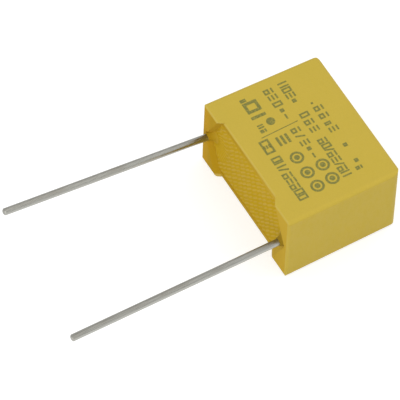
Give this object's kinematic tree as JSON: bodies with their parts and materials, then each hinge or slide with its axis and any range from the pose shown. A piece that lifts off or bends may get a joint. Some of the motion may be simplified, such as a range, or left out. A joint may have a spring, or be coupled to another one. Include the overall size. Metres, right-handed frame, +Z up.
{
  "type": "box film capacitor",
  "caption": "Box film capacitor with two radial wire leads: a moulded plastic case with corner feet, potted round a flattened film winding.",
  "frame": {"origin": "centre of the large flat face that the case lies on", "axes": "+X along the row of leads, +Y away from the leads towards the closed end, +Z up to the printed face"},
  "size_m": [0.018, 0.0396, 0.01],
  "materials": {
    "case": "moulded, satin",
    "resin": "cast, satin",
    "film": "wound metallised film",
    "sprayed_metal": "rough sprayed zinc",
    "ink": "printed, matt",
    "lead_wire": "matt tin"
  },
  "bodies": {
    "root": {"case": "case", "potting_resin": "resin", "film_winding": "film", "end_spray_left": "sprayed_metal", "end_spray_right": "sprayed_metal", "lead_left": "lead_wire", "lead_right": "lead_wire"}
  },
  "joints": []
}
